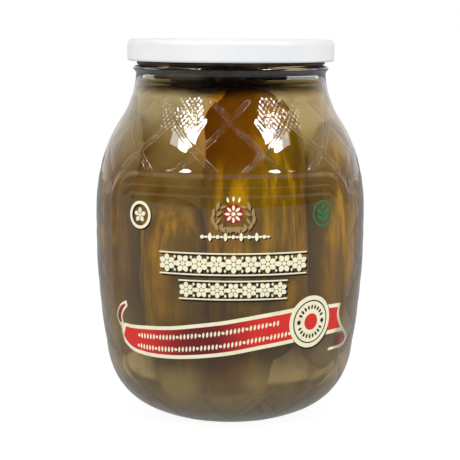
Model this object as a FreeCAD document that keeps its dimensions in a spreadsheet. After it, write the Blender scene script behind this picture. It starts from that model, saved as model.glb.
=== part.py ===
# A glass jar of pickles in brine: a round bellied jar with a smooth label panel in front and another behind,
# its twist-off metal lid, and the brine that fills it. Millimetres, +Z up, the front panel faces -Y, and the
# origin is on the table at the middle of the foot.

import FreeCAD
import Part
import Sketcher
import math
import os
import re

# Every driving dimension: its name in the sheet, its value, and what it measures.
sizeRows = [
    ("jarDiameter", 109.6, "widest ring of the belly"),
    ("wideHeight", 78.4, "height of the widest ring"),
    ("barrelRadius", 297.0, "long curve up the belly"),
    ("heelRadius", 28.8, "round corner low on the belly"),
    ("heelRise", 0.8, "gap under the heel circle"),
    ("footBlend", 62.5, "flatter curve from the heel in to the foot"),
    ("footSink", 2.4, "how far that curve would reach below the table"),
    ("footRing", 4.4, "width of the ring that stands on the table"),
    ("pushUp", 3.6, "rise of the hollow under the base"),
    ("shoulderStart", 88.7, "height where the belly turns into the shoulder"),
    ("neckStart", 140.3, "height where the neck becomes upright"),
    ("neckBlend", 33.6, "hollow curve from the shoulder to the neck"),
    ("neckDiameter", 77.0, "outside of the neck"),
    ("glassWall", 3.0, "thickness of the glass"),
    ("baseWall", 4.6, "thickness of the glass base"),
    ("panelDepth", 0.4, "step down from the patterned glass to a label panel"),
    ("panelBottom", 17.5, "height of the lower edge of a label panel"),
    ("panelTop", 102.0, "height of the upper edge of a label panel"),
    ("panelSpan", 116.0, "degrees round the jar that a label panel takes"),
    ("neckRise", 1.0, "upright neck up to the middle of the bead"),
    ("beadRound", 1.15, "round of the bead under the lid"),
    ("finishStep", 0.9, "how far the threaded top is set in from the neck"),
    ("finishHeight", 11.1, "threaded top, from the bead to the sealing lip"),
    ("lipRound", 0.6, "rounding of the sealing lip"),
    ("lugReach", 2.2, "how far a glass thread stands out"),
    ("lugHeight", 1.8, "height of a glass thread"),
    ("lugClearance", 0.1, "gap between a glass thread and the lid lug under it"),
    ("lugSpan", 34.0, "degrees round the lip that a glass thread takes"),
    ("lugCount", 6, "threads on the glass, and lugs in the lid"),
    ("lidWall", 0.6, "thickness of the lid"),
    ("lidClearance", 1.6, "room between the glass threads and the skirt"),
    ("lidSkirt", 8.8, "height of the lid"),
    ("lidRound", 2.1, "rounding of the lid's upper edge"),
    ("curlRound", 1.0, "round of the rolled lower edge of the lid"),
    ("lidLand", 6.4, "width of the flat ring of the lid's top"),
    ("lidDip", 0.9, "how far the lid's middle lies below that ring"),
    ("lidSlope", 1.2, "width of the slope between them"),
    ("buttonDiameter", 30.0, "raised button in the middle of the lid"),
    ("buttonRise", 0.5, "rise of that button"),
    ("lidLugSpan", 12.0, "degrees round the curl that a lid lug takes"),
    ("lidLugReach", 1.9, "how far a lid lug stands in from the curl"),
    ("brineDrop", 3.7, "surface of the brine below the upright neck"),
]
size = {name: value for name, value, meaning in sizeRows}

doc = FreeCAD.newDocument("PickleJar")


def makeSheet():
    # the sheet of driving dimensions, one row each: name, value, meaning
    sheet = doc.addObject("Spreadsheet::Sheet", "Sizes")
    for row, (name, value, meaning) in enumerate(sizeRows, start=1):
        sheet.set(f"A{row}", name)
        sheet.set(f"B{row}", str(value))
        sheet.set(f"C{row}", meaning)
        sheet.setAlias(f"B{row}", name)
    doc.recompute()
    return sheet


sheet = makeSheet()


def cells(formula):
    # a formula of bare size names, with each name written as its cell of the sheet
    return re.sub(r"[A-Za-z]+", lambda name: f"<<Sizes>>.{name.group()}", formula)


def valueOf(formula):
    # what a formula of size names comes to
    return float(sheet.evalExpression(cells(formula)))


def makeBody(name):
    body = doc.addObject("PartDesign::Body", name)
    body.Label = name
    return body


def originPart(body, role):
    # the body's own plane or axis with that role
    return next(item for item in body.Origin.OriginFeatures if item.Role == role)


def makeSketch(body, name, plane="XZ_Plane"):
    sketch = body.newObject("Sketcher::SketchObject", name)
    sketch.AttachmentSupport = [(originPart(body, plane), "")]
    sketch.MapMode = "FlatFace"
    return sketch


def bind(sketch, constraint, name, formula):
    # adds a dimension and ties it to the sheet
    index = sketch.addConstraint(constraint)
    sketch.renameConstraint(index, name)
    sketch.setExpression(f"Constraints.{name}", formula)


def measure(sketch, constraint, name):
    # adds a dimension that follows the outline and can be read by other sketches
    index = sketch.addConstraint(constraint)
    sketch.setDriving(index, False)
    sketch.renameConstraint(index, name)


def bindAcross(sketch, geometry, end, name, formula):
    # how far a point lies from the axis
    constraint = Sketcher.Constraint("DistanceX", -1, 1, geometry, end, valueOf(formula))
    bind(sketch, constraint, name, cells(formula))


def bindUp(sketch, geometry, end, name, formula):
    # how high a point lies above the table
    constraint = Sketcher.Constraint("DistanceY", -1, 1, geometry, end, valueOf(formula))
    bind(sketch, constraint, name, cells(formula))


def addLine(sketch, start, end):
    return sketch.addGeometry(Part.LineSegment(FreeCAD.Vector(*start, 0), FreeCAD.Vector(*end, 0)), False)


def addArc(sketch, centre, radius, start, end):
    # an arc that turns left from its start angle to its end angle
    circle = Part.Circle(FreeCAD.Vector(*centre, 0), FreeCAD.Vector(0, 0, 1), radius)
    return sketch.addGeometry(Part.ArcOfCircle(circle, start, end), False)


def joinEnds(sketch, first, firstEnd, second, secondEnd):
    sketch.addConstraint(Sketcher.Constraint("Coincident", first, firstEnd, second, secondEnd))


def drawPolygon(sketch, corners):
    # a closed outline of straight sides, each corner given as two formulas of size names
    points = [(valueOf(across), valueOf(up)) for across, up in corners]
    following = points[1:] + points[:1]
    sides = [addLine(sketch, start, end) for start, end in zip(points, following)]
    for side, nextSide in zip(sides, sides[1:] + sides[:1]):
        joinEnds(sketch, side, 2, nextSide, 1)
    for number, (side, (across, up)) in enumerate(zip(sides, corners)):
        bindAcross(sketch, side, 1, f"across{number}", across)
        bindUp(sketch, side, 1, f"up{number}", up)


def turn(body, sketch, kind, name, degrees="360"):
    # turns a sketch round the upright axis, by a share of a turn centred on its plane if it isn't a whole one
    feature = body.newObject(f"PartDesign::{kind}", name)
    feature.Profile = sketch
    feature.ReferenceAxis = (sketch, ["V_Axis"])
    feature.setExpression("Angle", cells(degrees))
    feature.Midplane = degrees != "360"
    doc.recompute()
    return feature


def repeatRound(body, feature, name, count):
    # copies of a feature spaced evenly round the upright axis
    pattern = body.newObject("PartDesign::PolarPattern", name)
    pattern.Originals = [feature]
    pattern.Axis = (originPart(body, "Z_Axis"), [""])
    pattern.Angle = 360
    pattern.setExpression("Occurrences", cells(count))
    body.Tip = pattern
    doc.recompute()


# The jar's side is a chain of five arcs, each tangent to the next: foot, heel, barrel, shoulder and neck.
# The same chain, drawn a distance further in, gives the inside of the glass, the brine and the panels.


def chainCentres():
    # middles of the five arcs, from the foot up, and the radius of the outer shoulder
    barrel = FreeCAD.Vector(size["jarDiameter"] / 2 - size["barrelRadius"], size["wideHeight"], 0)
    heelUp = size["heelRadius"] + size["heelRise"]
    heelReach = size["barrelRadius"] - size["heelRadius"]
    heel = FreeCAD.Vector(barrel.x + math.sqrt(heelReach**2 - (barrel.y - heelUp) ** 2), heelUp, 0)
    footUp = size["footBlend"] - size["footSink"]
    footReach = size["footBlend"] - size["heelRadius"]
    foot = FreeCAD.Vector(heel.x - math.sqrt(footReach**2 - (footUp - heelUp) ** 2), footUp, 0)
    neck = FreeCAD.Vector(size["neckDiameter"] / 2 + size["neckBlend"], size["neckStart"], 0)
    lift = size["shoulderStart"] - size["wideHeight"]
    start = barrel + FreeCAD.Vector(math.sqrt(size["barrelRadius"] ** 2 - lift**2), lift, 0)
    inward = (barrel - start).normalize()
    gap = start - neck
    radius = (gap.dot(gap) - size["neckBlend"] ** 2) / 2 / (size["neckBlend"] - gap.dot(inward))
    return foot, heel, barrel, start + inward * radius, neck, radius


def angleAtHeight(centre, radius, height):
    # where an arc's right-hand side crosses a height
    return math.asin((height - centre.y) / radius)


def angleTo(start, end):
    way = end - start
    return math.atan2(way.y, way.x)


def drawChain(sketch, inset, bottom, top, outline=None):
    # all five arcs from height bottom to height top; outline is the sketch that the shoulder is taken from
    foot, heel, barrel, shoulder, neck, shoulderRadius = chainCentres()
    deep = valueOf(inset)
    neckRadius = size["neckBlend"] + deep
    footStart = angleAtHeight(foot, size["footBlend"] - deep, valueOf(bottom))
    atHeel = angleTo(foot, heel)
    atBarrel = angleTo(barrel, heel)
    atShoulder = angleTo(barrel, shoulder) + (math.pi if shoulder.x < barrel.x else 0)
    atNeck = angleTo(shoulder, neck)
    neckEnd = math.pi - angleAtHeight(neck, neckRadius, valueOf(top))
    arcs = [
        addArc(sketch, (foot.x, foot.y), size["footBlend"] - deep, footStart, atHeel),
        addArc(sketch, (heel.x, heel.y), size["heelRadius"] - deep, atHeel, atBarrel),
        addArc(sketch, (barrel.x, barrel.y), size["barrelRadius"] - deep, atBarrel, atShoulder),
        addArc(sketch, (shoulder.x, shoulder.y), shoulderRadius - deep, atShoulder, atNeck),
        addArc(sketch, (neck.x, neck.y), neckRadius, neckEnd, math.pi + atNeck),
    ]
    for lower, upper in zip(arcs[:3], arcs[1:4]):
        sketch.addConstraint(Sketcher.Constraint("Tangent", lower, 2, upper, 1))
    sketch.addConstraint(Sketcher.Constraint("Tangent", arcs[3], 2, arcs[4], 2))
    bindArc(sketch, arcs[0], "foot", f"footBlend - {inset}", "footBlend - footSink")
    bindArc(sketch, arcs[1], "heel", f"heelRadius - {inset}", "heelRadius + heelRise")
    bindBarrel(sketch, arcs[2], inset)
    bindShoulder(sketch, arcs[2], arcs[3], inset, outline)
    bindArc(sketch, arcs[4], "neck", f"neckBlend + {inset}", "neckStart")
    bindAcross(sketch, arcs[4], 3, "neckAcross", "neckDiameter / 2 + neckBlend")
    bindUp(sketch, arcs[0], 1, "chainBottom", bottom)
    bindUp(sketch, arcs[4], 1, "chainTop", top)
    return arcs


def bindArc(sketch, arc, name, radius, height):
    # an arc's radius, and the height of its middle
    bind(sketch, Sketcher.Constraint("Radius", arc, valueOf(radius)), f"{name}Radius", cells(radius))
    bindUp(sketch, arc, 3, f"{name}Height", height)


def bindBarrel(sketch, arc, inset):
    # the barrel's middle lies on the far side of the axis
    bindArc(sketch, arc, "barrel", f"barrelRadius - {inset}", "wideHeight")
    across = "barrelRadius - jarDiameter / 2"
    constraint = Sketcher.Constraint("DistanceX", arc, 3, -1, 1, valueOf(across))
    bind(sketch, constraint, "barrelAcross", cells(across))


def bindShoulder(sketch, barrel, shoulder, inset, outline):
    # the outer shoulder is found from the height where it starts, and the others run alongside it
    radius = sketch.Geometry[shoulder].Radius
    constraint = Sketcher.Constraint("Radius", shoulder, radius)
    if outline is None:
        bindUp(sketch, barrel, 2, "shoulderHeight", "shoulderStart")
        measure(sketch, constraint, "shoulderRadius")
        middle = sketch.Geometry[shoulder].Center.y
        lift = Sketcher.Constraint("DistanceY", -1, 1, shoulder, 3, middle)
        measure(sketch, lift, "shoulderMiddle")
    else:
        formula = f"{outline.Name}.Constraints.shoulderRadius - {cells(inset)} * 1 mm"
        bind(sketch, constraint, "shoulderRadius", formula)


def drawOutline(body):
    # the whole outside, as a solid shape up to the sealing lip
    sketch = makeSketch(body, "JarOutline")
    arcs = drawChain(sketch, "0", "0", "neckStart")
    first = sketch.Geometry[arcs[0]].StartPoint
    last = sketch.Geometry[arcs[4]].StartPoint
    finish = size["neckDiameter"] / 2 - size["finishStep"]
    beadUp = valueOf("neckStart + neckRise")
    lipUp = valueOf("neckStart + neckRise + finishHeight")
    points = [(last.x, last.y), (last.x, beadUp), (finish, beadUp), (finish, lipUp)]
    points += [(0, lipUp), (0, 0), (first.x, 0)]
    lines = [addLine(sketch, start, end) for start, end in zip(points, points[1:])]
    joinEnds(sketch, arcs[4], 1, lines[0], 1)
    for line, following in zip(lines, lines[1:]):
        joinEnds(sketch, line, 2, following, 1)
    joinEnds(sketch, lines[-1], 2, arcs[0], 1)
    for line in (lines[0], lines[2], lines[4]):
        sketch.addConstraint(Sketcher.Constraint("Vertical", line))
    for line in (lines[1], lines[3]):
        sketch.addConstraint(Sketcher.Constraint("Horizontal", line))
    bindUp(sketch, lines[0], 2, "beadUp", "neckStart + neckRise")
    bindAcross(sketch, lines[2], 1, "finishAcross", "neckDiameter / 2 - finishStep")
    bindUp(sketch, lines[2], 2, "lipUp", "neckStart + neckRise + finishHeight")
    joinEnds(sketch, lines[4], 2, -1, 1)
    measure(sketch, Sketcher.Constraint("DistanceX", -1, 1, arcs[0], 1, first.x), "footAcross")
    doc.recompute()
    return sketch


def drawInside(body, name, outline, top, overshoot):
    # the space inside the glass up to height top, and straight on up by overshoot if that isn't None
    sketch = makeSketch(body, name)
    arcs = drawChain(sketch, "glassWall", "baseWall", top, outline)
    first = sketch.Geometry[arcs[0]].StartPoint
    last = sketch.Geometry[arcs[4]].StartPoint
    middleUp = valueOf("baseWall + pushUp")
    points = [(last.x, last.y)]
    if overshoot is not None:
        points.append((last.x, valueOf(overshoot)))
    points += [(0, points[-1][1]), (0, middleUp)]
    lines = [addLine(sketch, start, end) for start, end in zip(points, points[1:])]
    domeUp = (middleUp**2 - first.x**2 - first.y**2) / 2 / (middleUp - first.y)
    domeAngle = math.atan2(first.y - domeUp, first.x)
    dome = addArc(sketch, (0, domeUp), middleUp - domeUp, domeAngle, math.pi / 2)
    joinEnds(sketch, arcs[4], 1, lines[0], 1)
    for line, following in zip(lines, lines[1:]):
        joinEnds(sketch, line, 2, following, 1)
    joinEnds(sketch, lines[-1], 2, dome, 2)
    joinEnds(sketch, dome, 1, arcs[0], 1)
    if overshoot is not None:
        sketch.addConstraint(Sketcher.Constraint("Vertical", lines[0]))
        bindUp(sketch, lines[0], 2, "openTop", overshoot)
    sketch.addConstraint(Sketcher.Constraint("Horizontal", lines[-2]))
    sketch.addConstraint(Sketcher.Constraint("PointOnObject", lines[-1], 1, -2))
    sketch.addConstraint(Sketcher.Constraint("Vertical", lines[-1]))
    sketch.addConstraint(Sketcher.Constraint("PointOnObject", dome, 3, -2))
    bindUp(sketch, lines[-1], 2, "floorUp", "baseWall + pushUp")
    doc.recompute()
    return sketch


def drawHollow(body, outline):
    # the shallow dome under the base, inside the ring that stands on the table
    sketch = makeSketch(body, "BaseHollow")
    edge = outline.Geometry[0].StartPoint.x - size["footRing"]
    rise = size["pushUp"]
    domeUp = (rise**2 - edge**2) / 2 / rise
    dome = addArc(sketch, (0, domeUp), rise - domeUp, math.atan2(-domeUp, edge), math.pi / 2)
    down = addLine(sketch, (0, rise), (0, 0))
    along = addLine(sketch, (0, 0), (edge, 0))
    joinEnds(sketch, dome, 2, down, 1)
    joinEnds(sketch, down, 2, along, 1)
    joinEnds(sketch, along, 2, dome, 1)
    joinEnds(sketch, down, 2, -1, 1)
    sketch.addConstraint(Sketcher.Constraint("Vertical", down))
    sketch.addConstraint(Sketcher.Constraint("Horizontal", along))
    sketch.addConstraint(Sketcher.Constraint("PointOnObject", dome, 3, -2))
    bindUp(sketch, down, 1, "rise", "pushUp")
    constraint = Sketcher.Constraint("DistanceX", -1, 1, along, 2, edge)
    bind(sketch, constraint, "edge", f"{outline.Name}.Constraints.footAcross - {cells('footRing')} * 1 mm")
    doc.recompute()
    return sketch


def drawPanel(body, outline):
    # the thin slice that a label panel takes off the outside, from the heel up on to the shoulder
    sketch = makeSketch(body, "PanelSlice", "YZ_Plane")
    _, heel, barrel, shoulder, _, shoulderRadius = chainCentres()
    deep = size["panelDepth"]
    heelStart = angleAtHeight(heel, size["heelRadius"] - deep, size["panelBottom"])
    shoulderEnd = angleAtHeight(shoulder, shoulderRadius - deep, size["panelTop"])
    atBarrel = angleTo(barrel, heel)
    atShoulder = angleTo(barrel, shoulder)
    arcs = [
        addArc(sketch, (heel.x, heel.y), size["heelRadius"] - deep, heelStart, atBarrel),
        addArc(sketch, (barrel.x, barrel.y), size["barrelRadius"] - deep, atBarrel, atShoulder),
        addArc(sketch, (shoulder.x, shoulder.y), shoulderRadius - deep, atShoulder, shoulderEnd),
    ]
    sketch.addConstraint(Sketcher.Constraint("Tangent", arcs[0], 2, arcs[1], 1))
    sketch.addConstraint(Sketcher.Constraint("Tangent", arcs[1], 2, arcs[2], 1))
    bindArc(sketch, arcs[0], "heel", "heelRadius - panelDepth", "heelRadius + heelRise")
    bindBarrel(sketch, arcs[1], "panelDepth")
    bindShoulder(sketch, arcs[1], arcs[2], "panelDepth", outline)
    lift = Sketcher.Constraint("DistanceY", -1, 1, arcs[2], 3, shoulder.y)
    bind(sketch, lift, "shoulderMiddle", f"{outline.Name}.Constraints.shoulderMiddle")
    bindUp(sketch, arcs[0], 1, "panelLow", "panelBottom")
    bindUp(sketch, arcs[2], 2, "panelHigh", "panelTop")
    low = sketch.Geometry[arcs[0]].StartPoint
    high = sketch.Geometry[arcs[2]].EndPoint
    clear = size["jarDiameter"] / 2 + size["panelDepth"]
    points = [(high.x, high.y), (clear, high.y), (clear, low.y), (low.x, low.y)]
    lines = [addLine(sketch, start, end) for start, end in zip(points, points[1:])]
    joinEnds(sketch, arcs[2], 2, lines[0], 1)
    joinEnds(sketch, lines[0], 2, lines[1], 1)
    joinEnds(sketch, lines[1], 2, lines[2], 1)
    joinEnds(sketch, lines[2], 2, arcs[0], 1)
    sketch.addConstraint(Sketcher.Constraint("Horizontal", lines[0]))
    sketch.addConstraint(Sketcher.Constraint("Vertical", lines[1]))
    sketch.addConstraint(Sketcher.Constraint("Horizontal", lines[2]))
    bindAcross(sketch, lines[1], 1, "clear", "jarDiameter / 2 + panelDepth")
    doc.recompute()
    return sketch


def drawBead(body):
    # the round bead under the lid, as a circle on the corner of the neck
    sketch = makeSketch(body, "BeadCircle")
    centre = FreeCAD.Vector(size["neckDiameter"] / 2, valueOf("neckStart + neckRise"), 0)
    circle = Part.Circle(centre, FreeCAD.Vector(0, 0, 1), size["beadRound"])
    bead = sketch.addGeometry(circle, False)
    bindArc(sketch, bead, "bead", "beadRound", "neckStart + neckRise")
    bindAcross(sketch, bead, 3, "beadAcross", "neckDiameter / 2")
    return sketch


def drawGlassThread(body):
    # one thread, with a slope above it and a flat ledge below for a lug of the lid
    sketch = makeSketch(body, "ThreadSection")
    _, _, curlUp = lidFormulas()
    wall = "neckDiameter / 2 - finishStep"
    ledge = f"{curlUp} + curlRound / 2 + lugClearance"
    corners = [
        (f"{wall} - glassWall / 2", ledge),
        (f"{wall} + lugReach", ledge),
        (f"{wall} + lugReach", f"{ledge} + lugHeight / 2"),
        (wall, f"{ledge} + lugHeight"),
        (f"{wall} - glassWall / 2", f"{ledge} + lugHeight"),
    ]
    drawPolygon(sketch, corners)
    return sketch


def makeJar():
    body = makeBody("jar")
    outline = drawOutline(body)
    turn(body, outline, "Revolution", "Outside")
    turn(body, drawBead(body), "Revolution", "Bead")
    thread = turn(body, drawGlassThread(body), "Revolution", "Thread", "lugSpan")
    repeatRound(body, thread, "Threads", "lugCount")
    checkCut(body, lambda: cutInside(body, outline))
    roundEdges(body, "LipRounding", "neckStart + neckRise + finishHeight", None, "lipRound")
    checkCut(body, lambda: turn(body, drawHollow(body, outline), "Groove", "Hollow"))
    checkCut(body, lambda: cutPanels(body, outline))
    return body, outline


def cutInside(body, outline):
    lipUp = "neckStart + neckRise + finishHeight"
    turn(body, drawInside(body, "CavityOutline", outline, "neckStart", lipUp), "Groove", "Cavity")


def cutPanels(body, outline):
    panel = turn(body, drawPanel(body, outline), "Groove", "Panel", "panelSpan")
    repeatRound(body, panel, "Panels", "2")


def checkCut(body, cut):
    # makes a cut, and stops if it takes nothing off
    before = body.Shape.Volume
    cut()
    doc.recompute()
    if body.Shape.Volume >= before - 1:
        raise RuntimeError(f"the last cut in {body.Label} takes nothing off")


def roundEdges(body, name, height, across, radius):
    # rounds the level edges at a height; across, if it isn't None, is how far out they reach
    names = []
    for number, edge in enumerate(body.Shape.Edges, start=1):
        box = edge.BoundBox
        level = box.ZLength < 0.001 and abs(box.ZMax - valueOf(height)) < 0.001
        if level and (across is None or abs(box.XMax - valueOf(across)) < 0.001):
            names.append(f"Edge{number}")
    base = body.Tip
    fillet = body.newObject("PartDesign::Fillet", name)
    fillet.Base = (base, names)
    fillet.setExpression("Radius", cells(radius))
    doc.recompute()


def lidFormulas():
    # the lid's top, its outer radius and the height of its rolled edge, taken from the glass that it sits on
    lidTop = "neckStart + neckRise + finishHeight + lidWall"
    outer = "neckDiameter / 2 - finishStep + lugReach + lidClearance + lidWall"
    curlUp = f"{lidTop} - lidSkirt + curlRound"
    return lidTop, outer, curlUp


def drawLidSection(body):
    # the bent sheet from its middle out to the skirt, without its rolled edge
    lidTop, outer, curlUp = lidFormulas()
    sketch = makeSketch(body, "LidSection")
    landIn = f"{outer} - lidRound - lidLand"
    panelUp = f"{lidTop} - lidDip"
    buttonEdge = "buttonDiameter / 2"
    top = [
        ("0", f"{panelUp} + buttonRise"),
        (buttonEdge, f"{panelUp} + buttonRise"),
        (f"{buttonEdge} + lidSlope", panelUp),
        (f"{landIn} - lidSlope", panelUp),
        (landIn, lidTop),
        (outer, lidTop),
    ]
    under = [(across, f"{up} - lidWall") for across, up in top[:-1]]
    skirt = [(outer, curlUp), (f"{outer} - lidWall", curlUp), (f"{outer} - lidWall", f"{lidTop} - lidWall")]
    drawPolygon(sketch, top + skirt + under[::-1])
    return sketch


def drawCurl(body):
    # the rolled lower edge
    _, outer, curlUp = lidFormulas()
    sketch = makeSketch(body, "CurlCircle")
    curlAcross = f"{outer} - curlRound"
    centre = FreeCAD.Vector(valueOf(curlAcross), valueOf(curlUp), 0)
    curl = sketch.addGeometry(Part.Circle(centre, FreeCAD.Vector(0, 0, 1), size["curlRound"]), False)
    bindArc(sketch, curl, "curl", "curlRound", curlUp)
    bindAcross(sketch, curl, 3, "curlAcross", curlAcross)
    return sketch


def drawLidLug(body):
    # a flattened stretch of the rolled edge that hooks under a glass thread
    _, outer, curlUp = lidFormulas()
    sketch = makeSketch(body, "LugSection")
    inner = f"{outer} - 2 * curlRound"
    corners = [
        (f"{inner} + curlRound", f"{curlUp} - curlRound / 2"),
        (f"{inner} + curlRound", f"{curlUp} + curlRound / 2"),
        (f"{inner} - lidLugReach", f"{curlUp} + curlRound / 2"),
        (f"{inner} - lidLugReach", f"{curlUp} - curlRound / 4"),
    ]
    drawPolygon(sketch, corners)
    return sketch


def roundLid(body):
    # rounds the upper edge outside and inside alike, so that the sheet keeps its thickness
    lidTop, outer, _ = lidFormulas()
    roundEdges(body, "UpperRounding", lidTop, outer, "lidRound")
    inner = f"{outer} - lidWall"
    roundEdges(body, "InnerRounding", f"{lidTop} - lidWall", inner, "lidRound - lidWall")


def makeLid():
    body = makeBody("lid")
    turn(body, drawLidSection(body), "Revolution", "Sheet")
    roundLid(body)
    turn(body, drawCurl(body), "Revolution", "Curl")
    lug = turn(body, drawLidLug(body), "Revolution", "Lug", "lidLugSpan")
    repeatRound(body, lug, "Lugs", "lugCount")
    return body


def makeBrine(outline):
    # fills the glass, face to face, up to its surface in the neck
    body = makeBody("brine")
    sketch = drawInside(body, "BrineOutline", outline, "neckStart - brineDrop", None)
    turn(body, sketch, "Revolution", "Filling")
    return body


def checkObjects():
    # stops if anything in the document failed
    for item in doc.Objects:
        if "Invalid" in item.State or "Error" in item.State:
            raise RuntimeError(f"{item.Label} did not build: {item.State}")


def writeNode(body):
    shape = body.Shape
    if shape.isNull() or not shape.isValid() or len(shape.Solids) != 1:
        raise RuntimeError(f"{body.Label} is not one valid solid")
    shape.exportStep(os.path.join("parts", f"{body.Label}.step"))
    print(f"{body.Label}: {shape.Volume / 1000:.1f} ml, box {shape.BoundBox}")


jar, jarOutline = makeJar()
lid = makeLid()
brine = makeBrine(jarOutline)
doc.recompute()
checkObjects()
os.makedirs("parts", exist_ok=True)
for body in (jar, lid, brine):
    writeNode(body)
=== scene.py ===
import math

import bpy
import numpy as np
from mathutils import Matrix, Vector


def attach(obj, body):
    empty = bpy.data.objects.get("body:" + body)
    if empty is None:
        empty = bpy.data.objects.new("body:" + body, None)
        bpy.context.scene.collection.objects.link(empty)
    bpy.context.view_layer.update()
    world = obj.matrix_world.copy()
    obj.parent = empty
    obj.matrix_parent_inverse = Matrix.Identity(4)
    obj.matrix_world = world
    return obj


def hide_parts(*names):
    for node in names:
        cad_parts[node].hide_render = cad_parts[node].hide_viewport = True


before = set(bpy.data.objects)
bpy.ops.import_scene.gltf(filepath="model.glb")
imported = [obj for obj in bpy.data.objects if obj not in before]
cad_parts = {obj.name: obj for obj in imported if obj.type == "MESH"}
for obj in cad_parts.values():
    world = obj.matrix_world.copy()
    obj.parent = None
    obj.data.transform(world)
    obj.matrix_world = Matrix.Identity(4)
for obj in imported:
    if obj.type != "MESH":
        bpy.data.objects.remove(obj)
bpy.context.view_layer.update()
print("frame loaded:", ", ".join(sorted(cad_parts)))

# Lengths are in millimetres until a mesh is made, and turns are degrees from the front, to the right.
# A pair of numbers for a change of colour or shape says where it begins and where it is complete.
mm = 0.001
white = (1, 1, 1, 1)


def makeNode(tree, kind, inputs=None, **settings):
    # one shader node, with the values or links of its sockets and its settings
    node = tree.nodes.new("ShaderNode" + kind)
    for key, value in settings.items():
        setattr(node, key, value)
    for key, value in (inputs or {}).items():
        if isinstance(value, bpy.types.NodeSocket):
            tree.links.new(value, node.inputs[key])
        else:
            node.inputs[key].default_value = value
    return node


def reckon(tree, operation, first, second=0.0):
    # one sum of two values, as the socket that gives its result
    return makeNode(tree, "Math", {0: first, 1: second}, operation=operation).outputs[0]


def times(tree, first, *others):
    # the product of all the values
    for other in others:
        first = reckon(tree, "MULTIPLY", first, other)
    return first


def ramp(tree, value, low, high, first=0.0, last=1.0):
    # an even soft rise from first at low to last at high
    return makeNode(tree, "MapRange", {"Value": value, "From Min": low, "From Max": high,
                                       "To Min": first, "To Max": last},
                    interpolation_type="SMOOTHSTEP").outputs[0]


def fall(tree, value, low, high, first=1.0):
    # the same from first at low to nothing at high
    return ramp(tree, value, low, high, first, 0.0)


def blend(tree, share, first, last):
    # a colour between two, by share
    return makeNode(tree, "Mix", {0: share, 6: first, 7: last}, data_type="RGBA").outputs[2]


def between(tree, share, first, last):
    # a number between two, by share
    return makeNode(tree, "Mix", {0: share, 2: first, 3: last}, data_type="FLOAT").outputs[0]


def isRay(tree, *kinds):
    # 1 for a ray of any of the kinds, else 0
    path = makeNode(tree, "LightPath")
    found = path.outputs[f"Is {kinds[0]} Ray"]
    for kind in kinds[1:]:
        found = reckon(tree, "MAXIMUM", found, path.outputs[f"Is {kind} Ray"])
    return found


def pointNodes(tree):
    # the point in the jar's frame and its three parts, in metres
    where = makeNode(tree, "TexCoord").outputs["Object"]
    return (where, *makeNode(tree, "SeparateXYZ", {0: where}).outputs)


def turnAndUp(tree, x, y, z):
    # the turn about the axis in degrees, and the height in millimetres
    turn = reckon(tree, "ARCTAN2", x, times(tree, y, -1.0))
    return times(tree, turn, 180 / math.pi), times(tree, z, 1 / mm)


def noise(tree, where, scale, detail=3.0, roughness=0.5):
    # clouds of values about a half, finer as the scale grows
    return makeNode(tree, "TexNoise", {"Vector": where, "Scale": scale, "Detail": detail,
                                       "Roughness": roughness}).outputs[0]


def bump(tree, height, strength, depth, under=None):
    # a normal tilted by the slope of a height, over the normal under it if there is one
    inputs = {"Strength": strength, "Distance": depth, "Height": height}
    if under is not None:
        inputs["Normal"] = under
    return makeNode(tree, "Bump", inputs).outputs[0]


def startMaterial(name):
    # an empty material and its node tree
    material = bpy.data.materials.new(name)
    material.use_nodes = True
    material.node_tree.nodes.clear()
    return material, material.node_tree


def endOpaque(tree, colour, roughness, shine=0.5, normal=None):
    # a surface of one colour, joined to the material's output
    inputs = {"Base Color": colour, "Roughness": roughness, "Specular IOR Level": shine}
    if normal is not None:
        inputs["Normal"] = normal
    surface = makeNode(tree, "BsdfPrincipled", inputs)
    makeNode(tree, "OutputMaterial", {"Surface": surface.outputs[0]})


def endClear(tree, shader, **more):
    # glass or liquid joined to the output so that lamps shine through it and light what is inside
    clear = makeNode(tree, "BsdfTransparent")
    mixed = makeNode(tree, "MixShader", {0: isRay(tree, "Shadow"), 1: shader.outputs[0],
                                         2: clear.outputs[0]})
    makeNode(tree, "OutputMaterial", {"Surface": mixed.outputs[0], **more})


def gridFaces(rows, columns, closed=False):
    # four-sided faces between the points of a grid, whose rows may close on themselves
    here = np.arange(columns if closed else columns - 1)
    after = (here + 1) % columns
    row = np.arange(rows - 1)[:, None] * columns
    quads = np.stack([row + here, row + after, row + columns + after, row + columns + here], -1)
    return quads.reshape(-1, 4)


def makeMesh(name, points, faces, material):
    # a mesh of points in metres and faces, in one material
    mesh = bpy.data.meshes.new(name)
    mesh.from_pydata(points.tolist(), [], faces)
    mesh.materials.append(material)
    return mesh


def addObject(name, data, *hiddenFrom):
    # an object in the scene, unseen by some kinds of ray
    thing = bpy.data.objects.new(name, data)
    bpy.context.scene.collection.objects.link(thing)
    for kind in hiddenFrom:
        setattr(thing, "visible_" + kind, False)
    return thing


view = {
    "place": (0.0002, -0.720, 0.1602),
    "aim": (0.0, 0.0, 0.0749),
    "lens": 138.0,
    "roll": 0.3,
}


def makeCamera():
    # looks from place to aim, then turns about its own line of sight by roll
    data = bpy.data.cameras.new("camera")
    data.lens = view["lens"]
    camera = addObject("camera", data)
    toAim = Vector(view["aim"]) - Vector(view["place"])
    turned = toAim.to_track_quat("-Z", "Y").to_matrix().to_4x4()
    turned = turned @ Matrix.Rotation(math.radians(view["roll"]), 4, "Z")
    camera.matrix_world = Matrix.Translation(view["place"]) @ turned
    bpy.context.scene.camera = camera


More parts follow.
